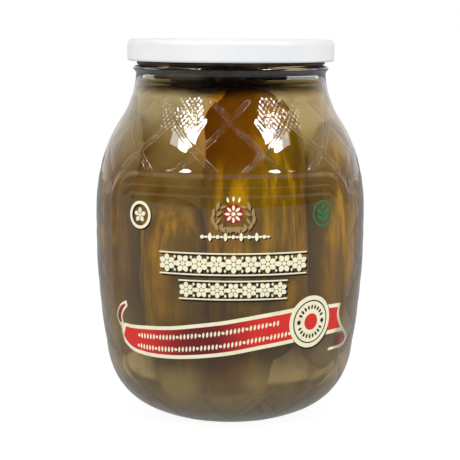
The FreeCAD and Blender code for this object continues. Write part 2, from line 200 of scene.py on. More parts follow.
studio = {
    "worldLight": 0.60,      # what plain surfaces receive from all round
    "behindShine": 0.80,     # what gloss picks up from behind the jar
    "frontShine": 0.02,      # from the dark room in front
    "floorShine": 0.26,      # and from the floor
    "behind": (0.1, 1.0),    # how far back a direction points, from front to behind
    "boxWatts": 3.5,
    "cardGlow": 30.0,        # of the inner part of the white cards that only gloss shows
    "cardDim": 4.5,          # of their outer part
    "cardRise": (-0.02, 0.05),   # where one turns into the other, across a card
    "boxSide": 54.0,         # degrees to each side of the front
    "boxHigh": 35.0,         # degrees above the floor
    "cardHigh": 54.0,
    "boxAway": 1.0,
    "boxAim": 0.10,
    "boxSize": (0.34, 0.60),
    "floorGlow": 0.78,
    "floorStrength": 1.16,   # of that glow, which with the plain part comes to white
    "floorColour": (0.80, 0.80, 0.80, 1),
    "floorSize": 60.0,
    "floorCorners": 96,
}


def makeWorld():
    # white to the eye and through glass, white behind and dark in front to gloss, plain to the rest
    world = bpy.data.worlds.new("studio")
    bpy.context.scene.world = world
    world.use_nodes = True
    tree = world.node_tree
    tree.nodes.clear()
    where = makeNode(tree, "TexCoord").outputs["Generated"]
    backward = makeNode(tree, "SeparateXYZ", {0: where}).outputs["Y"]
    shine = ramp(tree, backward, *studio["behind"], studio["frontShine"], studio["behindShine"])
    plain = between(tree, isRay(tree, "Glossy"), studio["worldLight"], shine)
    strength = between(tree, isRay(tree, "Camera", "Transmission"), plain, 1.0)
    sky = makeNode(tree, "Background", {"Color": white, "Strength": strength})
    makeNode(tree, "OutputWorld", {"Surface": sky.outputs[0]})


def boxPlace(side, up):
    # the frame of a box or card that faces the jar from one side, so many degrees up
    turn, high = math.radians(side), math.radians(up)
    towards = Vector((math.sin(turn) * math.cos(high), -math.cos(turn) * math.cos(high),
                      math.sin(high)))
    turned = (-towards).to_track_quat("-Z", "Y").to_matrix().to_4x4()
    return Matrix.Translation(Vector((0, 0, studio["boxAim"])) + towards * studio["boxAway"]) @ turned


def makeCard(name, side):
    # a card in front of a soft box, brighter on its inner part, which gloss mirrors and nothing else sees
    wide, high = studio["boxSize"]
    rows, columns = 7, 5
    points = np.stack([np.tile(np.linspace(-wide / 2, wide / 2, columns), rows),
                       np.repeat(np.linspace(-high / 2, high / 2, rows), columns),
                       np.zeros(rows * columns)], 1)
    material, tree = startMaterial(name + "Glow")
    inward = times(tree, pointNodes(tree)[1], -math.copysign(1.0, side))
    shine = ramp(tree, inward, *studio["cardRise"], studio["cardDim"], studio["cardGlow"])
    strength = times(tree, isRay(tree, "Glossy"), shine)
    glow = makeNode(tree, "Emission", {"Color": white, "Strength": strength})
    makeNode(tree, "OutputMaterial", {"Surface": glow.outputs[0]})
    mesh = makeMesh(name, points, gridFaces(rows, columns).tolist(), material)
    card = addObject(name, mesh, "camera", "diffuse", "transmission", "shadow")
    card.matrix_world = boxPlace(side, studio["cardHigh"])


def makeBox(name, side):
    # a soft box aimed at the jar
    data = bpy.data.lights.new(name, "AREA")
    data.shape = "RECTANGLE"
    data.size, data.size_y = studio["boxSize"]
    data.energy = studio["boxWatts"]
    lamp = addObject(name, data, "camera", "glossy", "transmission")
    lamp.matrix_world = boxPlace(side, studio["boxHigh"])


def makeFloor():
    # a wide round floor that glows white to the eye but keeps a part of the jar's shadow
    count = studio["floorCorners"]
    around = np.linspace(0, 2 * math.pi, count, endpoint=False)
    points = np.stack([np.cos(around), np.sin(around), np.zeros(count)], 1) * studio["floorSize"]
    material, tree = startMaterial("floorPaper")
    share = times(tree, isRay(tree, "Camera", "Transmission", "Glossy"), studio["floorGlow"])
    strength = between(tree, isRay(tree, "Glossy"), studio["floorStrength"], studio["floorShine"])
    plain = makeNode(tree, "BsdfDiffuse", {"Color": studio["floorColour"]})
    glow = makeNode(tree, "Emission", {"Color": white, "Strength": strength})
    mixed = makeNode(tree, "MixShader", {0: share, 1: plain.outputs[0], 2: glow.outputs[0]})
    makeNode(tree, "OutputMaterial", {"Surface": mixed.outputs[0]})
    addObject("floor", makeMesh("floor", points, [list(range(count))], material))


bpy.context.scene.view_settings.view_transform = "Standard"
makeCamera()
makeWorld()
for sideName, side in (("left", -studio["boxSide"]), ("right", studio["boxSide"])):
    makeBox("softBox" + sideName, side)
    makeCard("shineCard" + sideName, side)
makeFloor()
print("camera, world, lamps and floor made")


def addPiece(name, points, faces, material, slot, smooth=True, second=None, secondFaces=None):
    # an object at the origin from points in millimetres and faces, riding on the jar, with a second
    # material on the faces whose middles secondFaces(middle) picks
    mesh = makeMesh(name, np.asarray(points) * mm, faces, material)
    mesh.polygons.foreach_set("use_smooth", np.full(len(mesh.polygons), smooth))
    mesh.update()
    if second is not None:
        mesh.materials.append(second)
        middles = np.zeros(len(mesh.polygons) * 3)
        mesh.polygons.foreach_get("center", middles)
        picked = secondFaces(middles.reshape(-1, 3) / mm)
        mesh.polygons.foreach_set("material_index", picked.astype(np.int32))
    piece = addObject(name, mesh)
    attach(piece, "root")
    print(f"{name}: {len(mesh.vertices)} points, {len(mesh.polygons)} faces")
    return piece


def closeRings(rings):
    # rings of points, (rows, columns, 3), closed at both ends on a middle point each
    rows, columns = rings.shape[:2]
    points = np.concatenate([rings.reshape(-1, 3), [rings[0].mean(0)], [rings[-1].mean(0)]])
    here = np.arange(columns)
    after = (here + 1) % columns
    first, last = rows * columns, rows * columns + 1
    top = (rows - 1) * columns
    faces = gridFaces(rows, columns, True).tolist()
    faces += np.stack([np.full(columns, first), after, here], 1).tolist()
    faces += np.stack([np.full(columns, last), top + here, top + after], 1).tolist()
    return points, faces


def turnedRings(across, up, columns, push=None):
    # a profile (across, up) turned about the axis, each point moved outwards by push(turn, reach, up)
    turn = np.linspace(0, 360, columns, endpoint=False)[None, :]
    reach = np.repeat(across[:, None], columns, 1)
    height = np.repeat(up[:, None], columns, 1)
    if push is not None:
        reach = reach + push(turn, reach, height)
    angle = np.radians(turn)
    return np.stack([reach * np.sin(angle), -reach * np.cos(angle), height], -1)


def smoothStep(value, low, high):
    # 0 below low, 1 above high, and an even rise between them
    share = np.clip((value - low) / (high - low), 0, 1)
    return share * share * (3 - 2 * share)


def ridge(value, middle, width):
    # a soft bump of height 1 about middle
    return np.exp(-((value - middle) / width) ** 2)


def wrapped(value, pitch):
    # how far a value lies past the nearest multiple of the pitch, negative before it
    return (value + pitch / 2) % pitch - pitch / 2


def awayFromAxis(points):
    # distance of points from the jar's axis
    return np.hypot(points[..., 0], points[..., 1])


def spread(across, up, count):
    # count points at even steps along the line
    run = np.concatenate([[0], np.cumsum(np.hypot(np.diff(across), np.diff(up)))])
    even = np.linspace(0, run[-1], count)
    return np.interp(even, run, across), np.interp(even, run, up)


jarForm = {
    "wall": 3.0,             # glass thickness
    # each arc of the wall: middle across and up, radius, from height, to height, 1 bulging or -1 hollow
    "arcs": [
        (7.2, 60.1, 62.5, 0.0, 3.535, 1),
        (21.5, 29.6, 28.8, 3.535, 24.36, 1),
        (-242.2, 78.4, 297.0, 24.36, 88.7, 1),
        (-9.454, 86.477, 64.114, 88.7, 121.792, 1),
        (72.1, 140.3, 33.6, 121.792, 140.3, -1),
    ],
    "arcSteps": 200,
    "wallRows": [(0, 17, 16), (17, 28, 17), (28, 92, 38), (92, 104, 22), (104, 140.3, 46)],
    "columns": 360,
    "girth": 54.4,           # radius that print and relief are laid out on
    "axisHole": 0.8,         # innermost ring of the foot, floor and lid, closed on a middle point
    "footIn": 19.9,          # inner edge of the foot's ring
    "pushUp": 3.6,
    "beadAcross": 38.5,
    "beadUp": 141.3,
    "beadRound": 1.15,
    "finish": 37.6,          # radius of the threaded top
    "mouth": 35.5,
    "lipUp": 152.4,
    "lipRound": 0.6,
    "floorUp": 4.6,
    "floorCentreUp": 8.2,
    "brineUp": 136.6,
    "brineColumns": 180,
    "brineOverlap": 0.3,     # how far the brine reaches into the glass
    "brineClimb": 0.9,       # of its top at the glass
    "climbReach": 1.3,
}


def wallLine(inset):
    # the wall's arcs from foot to neck as one dense line, moved into the wall by inset along its normals
    across, up = [], []
    for middleAcross, middleUp, radius, low, high, side in jarForm["arcs"]:
        first = math.asin((low - middleUp) / radius)
        last = math.asin((high - middleUp) / radius)
        angle = np.linspace(first, last, jarForm["arcSteps"])
        across.append(middleAcross + side * (radius - side * inset) * np.cos(angle))
        up.append(middleUp + (radius - side * inset) * np.sin(angle))
    return np.concatenate(across), np.concatenate(up)


def wallRadius(up, inset=0.0):
    # how far the wall stands from the axis at a height
    across, heights = wallLine(inset)
    return np.interp(up, heights, across)


relief = {
    "panelHalf": 58.0,       # degrees to each side of a panel's middle
    "panelLow": 17.5,
    "panelHigh": 102.0,
    "panelCorner": 13.0,
    "panelDepth": 0.56,
    "panelSlopes": (6.0, 1.4),   # width of its step at the sides and at the top
    "edgeRidge": 0.34,
    "innerRidge": 0.20,
    "ridgeLines": [("edgeRidge", 1.0, 0.5, 0.7), ("innerRidge", 1.0, -4.0, 0.75),
                   ("innerRidge", 0.7, -7.2, 1.0)],   # share of the height, where, width
    "lowShare": 0.42,        # of the ridges' height at the sides and foot of a panel
    "strongFrom": (84, 96),  # height where they grow to the full one
    "latticeTurn": 30.0,     # degrees from one diamond to the next
    "latticeRise": 24.0,
    "latticeUp": 121.8,      # height of a crossing at the front
    "pillow": 0.17,
    "pillowEdge": 0.13,      # of a diamond
    "pillowLip": (0.035, 0.018),
    "diamondsFrom": (1.2, 3.5),   # outside the panel
    "diamondsLow": (9, 16),
    "diamondsHigh": (129, 134),
    "threadPitch": 60.0,     # degrees between threads, and between the lid's lugs
    "threadReach": 2.2,
    "threadLow": 145.8,
    "threadHigh": 147.6,
    "threadSpan": 34.0,
    "threadSlant": 0.5,
}


def panelDistance(turn, up):
    # distance outside the nearer panel's rounded rectangle, negative inside it
    fromFront = np.abs(wrapped(turn, 360))
    nearer = np.minimum(fromFront, 180 - fromFront)
    across = np.radians(nearer) * jarForm["girth"]
    halfWide = math.radians(relief["panelHalf"]) * jarForm["girth"]
    middle = (relief["panelLow"] + relief["panelHigh"]) / 2
    halfHigh = (relief["panelHigh"] - relief["panelLow"]) / 2
    corner = relief["panelCorner"]
    overWide = across - (halfWide - corner)
    overHigh = np.abs(up - middle) - (halfHigh - corner)
    beyond = np.hypot(np.maximum(overWide, 0), np.maximum(overHigh, 0))
    return beyond + np.minimum(np.maximum(overWide, overHigh), 0) - corner


def jarRelief(turn, up):
    # the panel's step and ridges inside it, and the pillowed diamonds outside it
    outside = panelDistance(turn, up)
    strong = relief["lowShare"] + (1 - relief["lowShare"]) * smoothStep(up, *relief["strongFrom"])
    wide, narrow = relief["panelSlopes"]
    height = -relief["panelDepth"] * smoothStep(-outside, 0.0, wide - (wide - narrow) * strong)
    for name, share, middle, width in relief["ridgeLines"]:
        height += strong * share * relief[name] * ridge(outside, middle, width)
    along = turn / relief["latticeTurn"]
    rise = (up - relief["latticeUp"]) / relief["latticeRise"]
    nearest = np.minimum(np.abs(wrapped(along + rise, 1)), np.abs(wrapped(along - rise, 1)))
    pillow = 1 - ridge(nearest, 0, relief["pillowEdge"])
    pillow -= 0.5 * ridge(nearest, *relief["pillowLip"])
    shown = smoothStep(outside, *relief["diamondsFrom"]) * smoothStep(up, *relief["diamondsLow"])
    shown = shown * (1 - smoothStep(up, *relief["diamondsHigh"]))
    return height + relief["pillow"] * shown * (pillow - 1.0)


def jarPush(turn, reach, up):
    # relief on the outer wall, and slanting threads round the finish
    onWall = (reach > wallRadius(up, 1.0)) & (up < jarForm["beadUp"] - 2.3)
    out = np.where(onWall, jarRelief(turn + 0 * up, up), 0.0)
    fromMiddle = wrapped(turn, relief["threadPitch"])
    half = relief["threadSpan"] / 2
    span = 1 - smoothStep(np.abs(fromMiddle), half - 2, half)
    middle = (relief["threadLow"] + relief["threadHigh"]) / 2
    middle = middle - relief["threadSlant"] * fromMiddle / relief["threadPitch"]
    half = (relief["threadHigh"] - relief["threadLow"]) / 2
    band = 1 - smoothStep(np.abs(up - middle), half - 0.35, half + 0.15)
    onFinish = (reach > jarForm["finish"] - 0.8) & (up > jarForm["beadUp"] + 1.7)
    return out + np.where(onFinish, relief["threadReach"] * span * band, 0.0)


def jarProfile():
    # the outline from the middle of the foot, up the outside, over the lip and down inside to the floor
    domeRadius = (jarForm["footIn"] ** 2 + jarForm["pushUp"] ** 2) / (2 * jarForm["pushUp"])
    domeAcross = np.linspace(jarForm["axisHole"], jarForm["footIn"], 12)
    domeUp = jarForm["pushUp"] - domeRadius + np.sqrt(domeRadius ** 2 - domeAcross ** 2)
    parts = [(domeAcross, domeUp)]
    across, up = wallLine(0.0)
    for low, high, count in jarForm["wallRows"]:
        keep = (up >= low - 1e-9) & (up <= high + 1e-9)
        piece = spread(across[keep], up[keep], count)
        parts.append((piece[0][:-1], piece[1][:-1]))
    around = np.radians(np.linspace(-60, 90, 11))
    parts.append((jarForm["beadAcross"] + jarForm["beadRound"] * np.cos(around),
                  jarForm["beadUp"] + jarForm["beadRound"] * np.sin(around)))
    finishUp = np.concatenate([[142.5, 143.2], np.linspace(144.8, 148.4, 17), [150.0]])
    parts.append((np.full(len(finishUp), jarForm["finish"]), finishUp))
    bend = np.radians(np.linspace(0, 90, 5))
    lipRound = jarForm["lipRound"]
    low = jarForm["lipUp"] - lipRound
    parts.append((jarForm["finish"] - lipRound * (1 - np.cos(bend)), low + lipRound * np.sin(bend)))
    parts.append((jarForm["mouth"] + lipRound * (1 - np.sin(bend)), low + lipRound * np.cos(bend)))
    inAcross, inUp = wallLine(jarForm["wall"])
    keep = inUp > jarForm["floorUp"]
    inAcross, inUp = spread(inAcross[keep][::-1], inUp[keep][::-1], 46)
    parts.append((inAcross, inUp))
    floorAcross = np.linspace(inAcross[-1], jarForm["axisHole"], 9)[1:]
    lift = 1 - (floorAcross / inAcross[-1]) ** 2
    parts.append((floorAcross, jarForm["floorUp"]
                  + (jarForm["floorCentreUp"] - jarForm["floorUp"]) * lift))
    return np.concatenate([p[0] for p in parts]), np.concatenate([p[1] for p in parts])


def brineProfile():
    # just into the wall all round, under a flat top that climbs a little at the glass
    overlap, climb = jarForm["brineOverlap"], jarForm["brineClimb"]
    floorUp = jarForm["floorUp"] - overlap
    across, up = wallLine(jarForm["wall"] - overlap)
    keep = (up > floorUp) & (up < jarForm["brineUp"] + climb)
    across, up = spread(across[keep], up[keep], 70)
    floorAcross = np.linspace(jarForm["axisHole"], across[0], 10)[:-1]
    lift = 1 - (floorAcross / across[0]) ** 2
    floorUp = floorUp + (jarForm["floorCentreUp"] - jarForm["floorUp"]) * lift
    inward = np.array([0.25, 0.6, 1.2, 2.2, 4.0, 8.0, 14.0, 20.0, 26.0, 31.0, 34.5])
    topAcross = across[-1] - inward
    topUp = jarForm["brineUp"] + climb * np.exp(-inward / jarForm["climbReach"])
    return np.concatenate([floorAcross, across, topAcross]), np.concatenate([floorUp, up, topUp])


glassLook = {
    "tint": (0.90, 0.915, 0.88, 1),
    "ior": 1.5,
    "roughness": 0.03,
    "mirror": 0.08,          # of the usual mirror, since the coat gives the rest
    "coat": 1.0,
    "coatRoughness": 0.05,
    "lineStep": 0.03,        # of a diamond, from one fine line of its edge to the next
    "lineWidth": 0.012,
    "lineZone": (0.06, 0.075),
    "panelTop": (102.5, 105.0),
    "panelSide": (59.0, 61.0),
    "panelFoot": (14.0, 17.0),
    "linesEnd": (128.0, 131.0),
    "knurlPitch": 2.6,
    "knurlSide": (13.0, 17.0),   # degrees from between two patches
    "knurlLow": (117.0, 121.0),
    "knurlHigh": (129.5, 131.5),
    "pimples": 420.0,
    "waves": 55.0,
    "depths": [("waves", 0.25, 0.0006), ("pimples", 0.25, 0.0003), ("lines", 0.8, 0.0004),
               ("knurl", 0.35, 0.0005)],   # strength and depth in metres
}
brineLook = {
    "tint": (0.99, 0.985, 0.96, 1),
    "ior": 1.33,
    "roughness": 0.16,
    "topRoughness": 0.02,
    "takenOff": (0.70, 0.54, 0.20, 1),
    "density": 30.0,
}


def toLine(tree, value):
    # distance of a value from the nearest whole number
    return reckon(tree, "PINGPONG", value, 0.5)


def makeInnerGlassMaterial():
    # the inside of the glass, mostly wet with brine, which ends the mirror there and leaves the bending
    material, tree = startMaterial("jarGlassInside")
    endClear(tree, makeNode(tree, "BsdfRefraction", {"Color": white, "Roughness": 0.0,
                                                     "IOR": glassLook["ior"]}))
    return material


def makeGlassMaterial():
    # clear soda glass with the mould's fine lines, knurled patches, pimpled sides and slight waves
    material, tree = startMaterial("jarGlass")
    where, *parts = pointNodes(tree)
    turn, up = turnAndUp(tree, *parts)
    along = reckon(tree, "DIVIDE", turn, relief["latticeTurn"])
    rise = reckon(tree, "DIVIDE", reckon(tree, "SUBTRACT", up, relief["latticeUp"]),
                  relief["latticeRise"])
    nearest = reckon(tree, "MINIMUM", toLine(tree, reckon(tree, "ADD", along, rise)),
                     toLine(tree, reckon(tree, "SUBTRACT", along, rise)))
    fine = ramp(tree, reckon(tree, "PINGPONG", nearest, glassLook["lineStep"]),
                0.0, glassLook["lineWidth"])
    side = reckon(tree, "ABSOLUTE", turn)
    side = reckon(tree, "MINIMUM", side, reckon(tree, "SUBTRACT", 180.0, side))
    outsideSide = ramp(tree, side, *glassLook["panelSide"])
    outside = reckon(tree, "MAXIMUM", ramp(tree, up, *glassLook["panelTop"]), outsideSide)
    outside = reckon(tree, "MAXIMUM", outside, fall(tree, up, *glassLook["panelFoot"]))
    linesUp = fall(tree, up, *glassLook["linesEnd"])
    # crossed slanting lines make small diamonds in six patches under the neck
    arc = times(tree, turn, math.radians(1) * jarForm["girth"])
    crossed = [toLine(tree, reckon(tree, "DIVIDE", reckon(tree, sign, arc, up), glassLook["knurlPitch"]))
               for sign in ("ADD", "SUBTRACT")]
    patch = reckon(tree, "PINGPONG", turn, relief["threadPitch"] / 2)
    pimples = makeNode(tree, "TexVoronoi", {"Vector": where, "Scale": glassLook["pimples"],
                                            "Smoothness": 0.6}, feature="SMOOTH_F1")
    heights = {
        "waves": noise(tree, where, glassLook["waves"], 2.0),
        "pimples": times(tree, pimples.outputs["Distance"], outsideSide, linesUp),
        "lines": times(tree, fine, fall(tree, nearest, *glassLook["lineZone"]), outside, linesUp),
        "knurl": times(tree, reckon(tree, "ADD", *crossed), ramp(tree, patch, *glassLook["knurlSide"]),
                       ramp(tree, up, *glassLook["knurlLow"]), fall(tree, up, *glassLook["knurlHigh"])),
    }
    normal = None
    for name, strength, depth in glassLook["depths"]:
        normal = bump(tree, heights[name], strength, depth, normal)
    endClear(tree, makeNode(tree, "BsdfPrincipled", {
        "Base Color": glassLook["tint"], "Roughness": glassLook["roughness"],
        "IOR": glassLook["ior"], "Specular IOR Level": glassLook["mirror"],
        "Transmission Weight": 1.0, "Coat Weight": glassLook["coat"],
        "Coat Roughness": glassLook["coatRoughness"], "Normal": normal, "Coat Normal": normal}))
    return material


def makeBrineMaterial():
    # cloudy amber brine, which takes off more blue and green the deeper one looks
    material, tree = startMaterial("cloudyBrine")
    liquid = makeNode(tree, "BsdfRefraction", {"Color": brineLook["tint"], "IOR": brineLook["ior"],
                                               "Roughness": brineLook["roughness"]})
    depth = makeNode(tree, "VolumeAbsorption", {"Color": brineLook["takenOff"],
                                                "Density": brineLook["density"]})
    endClear(tree, liquid, Volume=depth.outputs[0])
    return material


def makeBrineTopMaterial():
    # the free top of the brine, which mirrors at a low angle
    material, tree = startMaterial("brineTop")
    endClear(tree, makeNode(tree, "BsdfGlass", {"Color": brineLook["tint"], "IOR": brineLook["ior"],
                                                "Roughness": brineLook["topRoughness"]}))
    return material


def isBrineTop(middles):
    # faces of the brine that lie level with its surface or climb at the glass
    up = middles[:, 2]
    inWall = wallRadius(up, jarForm["wall"] - 0.2)
    return (up > jarForm["brineUp"] - 0.05) & (awayFromAxis(middles) < inWall)


def isInsideJar(middles):
    # faces of the jar's inner wall and floor
    up = middles[:, 2]
    inGlass = wallRadius(np.maximum(up, 1.0), jarForm["wall"] / 2)
    return (up > jarForm["floorUp"] - 0.6) & (awayFromAxis(middles) < inGlass)


jarRings = turnedRings(*jarProfile(), jarForm["columns"], jarPush)
jarPiece = addPiece("jarGlassWall", *closeRings(jarRings), makeGlassMaterial(), "glass",
                    second=makeInnerGlassMaterial(), secondFaces=isInsideJar)
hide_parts("jar")
brineRings = turnedRings(*brineProfile(), jarForm["brineColumns"])
brinePiece = addPiece("brineFill", *closeRings(brineRings), makeBrineMaterial(), "brine",
                      second=makeBrineTopMaterial(), secondFaces=isBrineTop)
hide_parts("brine")
print("jar and brine made")


murkLook = {
    "share": 0.735,          # of the jar's radius
    "lowShare": 0.86,        # the same near the floor
    "lowFrom": (14, 46),
    "heights": (9.0, 133.5),
    "footRound": (8.0, 14.0),
    "headRound": (134.4, 30.0),
    "lumps": 1.1,
    "columns": 96,
    "olive": (0.43, 0.295, 0.105, 1),
    "brown": (0.23, 0.120, 0.020, 1),
    "patches": (0.40, 0.66),
    "neck": (0.85, 0.72, 0.44, 1),
    "neckUp": (108.0, 126.0),
    "right": (0.98, 0.78, 0.42, 1),
    "rightUp": (104.0, 122.0),
    "rightTurn": (12.0, 40.0),
    "tan": (0.90, 0.72, 0.38, 1),
    "tanUp": (50.0, 20.0),
    "tanMost": 0.95,
    # dark: a deeper gold painted in as the shade below the raft, high at the front
    "dark": (0.95, 0.42, 0.003, 1),
    "darkUp": (96.0, 112.0),
    "darkTurn": 6.0,
    "darkHalf": (14.0, 30.0),
    "clouds": (0.46, 0.72),
    "cloudsMost": 0.55,
}


def waviness(first, second, seed, count=6, lowest=1, highest=4):
    # a few sine waves of random turn and phase over two parameters, between about -1 and 1
    rng = np.random.default_rng(seed)
    total = np.zeros(np.broadcast(first, second).shape)
    for _ in range(count):
        slow = rng.uniform(lowest, highest) * math.pi
        whole = rng.integers(1, 4)
        wave = np.sin(slow * first + rng.uniform(0, 6.3))
        total = total + wave * np.cos(whole * second + rng.uniform(0, 6.3))
    return total / math.sqrt(count)


def murkPush(turn, reach, up):
    # slow lumps over the murk's surface
    lumps = waviness(up / 60.0, np.radians(turn) + 0 * up, 5)
    return murkLook["lumps"] * lumps * np.clip(reach / 12.0, 0, 1)


def murkProfile():
    # a smaller jar shape inside the brine, from under its top to above its floor
    up = np.linspace(*murkLook["heights"], 60)
    wider = smoothStep(up, *murkLook["lowFrom"])
    share = murkLook["lowShare"] + (murkLook["share"] - murkLook["lowShare"]) * wider
    foot, rounding = murkLook["footRound"]
    across = share * wallRadius(up) * np.clip((up - foot) / rounding, 0, 1) ** 0.4
    head, reach = murkLook["headRound"]
    return np.minimum(across, reach * np.sqrt(np.clip((head - up) / 4.0, 0, 1.6))), up


def makeMurkMaterial():
    # olive-brown haze with darker hollows, a pale neck and foot, and painted shade in deeper gold high at
    # the front, below the raft
    material, tree = startMaterial("murkHaze")
    where, *parts = pointNodes(tree)
    turn, up = turnAndUp(tree, *parts)
    patches = ramp(tree, noise(tree, where, 26.0, 3.0, 0.55), *murkLook["patches"])
    base = blend(tree, patches, murkLook["olive"], murkLook["brown"])
    toRight = times(tree, ramp(tree, up, *murkLook["rightUp"]), ramp(tree, turn, *murkLook["rightTurn"]))
    low = times(tree, ramp(tree, up, *murkLook["tanUp"]), murkLook["tanMost"])
    # painted shade below the raft: deeper gold high at the front
    aside = reckon(tree, "ABSOLUTE", reckon(tree, "SUBTRACT", turn, murkLook["darkTurn"]))
    front = times(tree, ramp(tree, up, *murkLook["darkUp"]), fall(tree, aside, *murkLook["darkHalf"]))
    clouds = ramp(tree, noise(tree, where, 60.0, 4.0, 0.6), *murkLook["clouds"],
                  0.0, murkLook["cloudsMost"])
    for share, name in ((ramp(tree, up, *murkLook["neckUp"]), "neck"), (toRight, "right"),
                        (low, "tan"), (front, "dark"), (clouds, "brown")):
        base = blend(tree, share, base, murkLook[name])
    endOpaque(tree, base, 0.9, 0.0)
    return material


# from and to are (turn, distance from the axis, height); bow is how far the middle bends outwards
pickles = {
    "frontRight": {"from": (16, 27, 27), "to": (14, 15, 132), "thick": 19.5, "bow": 12.0, "seed": 11},
    "frontLeft": {"from": (-22, 24, 9), "to": (-34, 31, 92), "thick": 15.0, "bow": 6.0, "seed": 12},
    "left": {"from": (-78, 31, 26), "to": (-84, 25, 120), "thick": 16.0, "bow": 7.0, "seed": 13},
    "right": {"from": (64, 31, 22), "to": (72, 25, 118), "thick": 15.5, "bow": 7.0, "seed": 14},
    "backRight": {"from": (122, 29, 12), "to": (114, 20, 126), "thick": 17.0, "bow": 9.0, "seed": 15},
    "back": {"from": (172, 29, 14), "to": (166, 29, 106), "thick": 16.5, "bow": 6.0, "seed": 16},
    "backLeft": {"from": (-138, 30, 20), "to": (-142, 18, 128), "thick": 16.5, "bow": 10.0, "seed": 17},
    "frontLow": {"from": (-4, 25, 9), "to": (12, 33, 52), "thick": 13.5, "bow": 3.0, "seed": 18},
}
pickleLook = {
    "gap": 0.9,              # left between a pickle and the glass
    "rows": 90,
    "columns": 56,
    "warts": 70,
    "amber": (0.29, 0.158, 0.008, 1),
    "gold": (0.80, 0.40, 0.004, 1),
    "streaks": (0.42, 0.66),
    "streaksUp": (52.0, 80.0, 0.40),   # below the second height there are fewer, down to this share
    "brown": (0.17, 0.072, 0.003, 1),
    "blots": (0.44, 0.80),
    "blotsMost": 0.8,
    "haze": (0.27, 0.192, 0.072, 1),
    "hazeFrom": (37.0, 48.5),
    "shoulderUp": 92.0,      # above this height the haze starts nearer the axis, as the glass does
    "shoulderLean": 0.34,
    "frontTurn": (34.0, 52.0),
    "shoulder": (0.56, 0.43, 0.23, 1),
    "shoulderFrom": (84.0, 114.0),
    # top: dark brown painted in as shade at the top left of the front, below the raft, and in the shade
    # low in the middle
    "top": (0.22, 0.070, 0.001, 1),
    "topUp": (96.0, 110.0),
    "topAcross": (0.006, 0.016),
    "low": (0.86, 0.64, 0.29, 1),
    "lowUp": (12.0, 34.0, 0.75),       # the last number is the share of that colour at the foot
    "lowSideUp": (18.0, 52.0, 0.85),
    "shadeAcross": (0.003, 0.013, 0.65),
    "shadeUp": (12.0, 18.0),
    "shadeEnd": (28.0, 40.0),
}


def spot(turn, away, up):
    # the point at a turn, a distance from the axis and a height
    angle = math.radians(turn)
    return np.array([away * math.sin(angle), -away * math.cos(angle), up])


def insideWall(points):
    # presses what would pass through the glass flat against it, with a soft turn into the flat
    away = awayFromAxis(points)
    limit = wallRadius(points[..., 2], jarForm["wall"] + pickleLook["gap"])
    pressed = limit - 0.5 * np.log1p(np.exp(np.clip((limit - away) / 0.5, -40, 40)))
    share = (pressed / np.maximum(away, 1e-6))[..., None]
    return np.concatenate([points[..., :2] * share, points[..., 2:]], -1)


def unit(vectors):
    # vectors brought to length 1
    return vectors / np.linalg.norm(vectors, axis=-1)[..., None]


def pickleRings(spec):
    # a bent round bar: a straight run bowed outwards, with blunt ends, slow lumps and small warts
    first, last = spot(*spec["from"]), spot(*spec["to"])
    rows, thick = pickleLook["rows"], spec["thick"]
    share = (1 - np.cos(np.linspace(0.02, 0.98, rows) * math.pi))[:, None] / 2
    outward = unit((first + last) * (1, 1, 0))
    middle = first + (last - first) * share + outward * spec["bow"] * np.sin(math.pi * share)
    ahead = unit(np.gradient(middle, axis=0))
    across = unit(np.cross(np.repeat(outward[None], rows, 0), ahead))
    over = np.cross(ahead, across)
    length = np.linalg.norm(last - first)
    fromEnd = np.minimum(share, 1 - share) * length / (1.25 * thick)
    girth = thick * np.sqrt(1 - (1 - np.clip(fromEnd, 0, 1)) ** 2.3)
    around = np.linspace(0, 2 * math.pi, pickleLook["columns"], endpoint=False)[None]
    lumps = 1 + 0.035 * waviness(share, around, spec["seed"], 6, 2, 6)
    rng = np.random.default_rng(spec["seed"] + 50)
    for _ in range(pickleLook["warts"]):
        atShare, atRound = rng.uniform(0.05, 0.95), rng.uniform(0, 2 * math.pi)
        apart = ((share - atShare) * length) ** 2 + (wrapped(around - atRound, 2 * math.pi) * thick) ** 2
        lumps = lumps + rng.uniform(0.015, 0.04) * np.exp(-apart / rng.uniform(1.5, 5.0))
    around = around[..., None]
    ring = np.cos(around) * across[:, None] + np.sin(around) * over[:, None]
    return insideWall(middle[:, None] + (girth * lumps)[..., None] * ring)


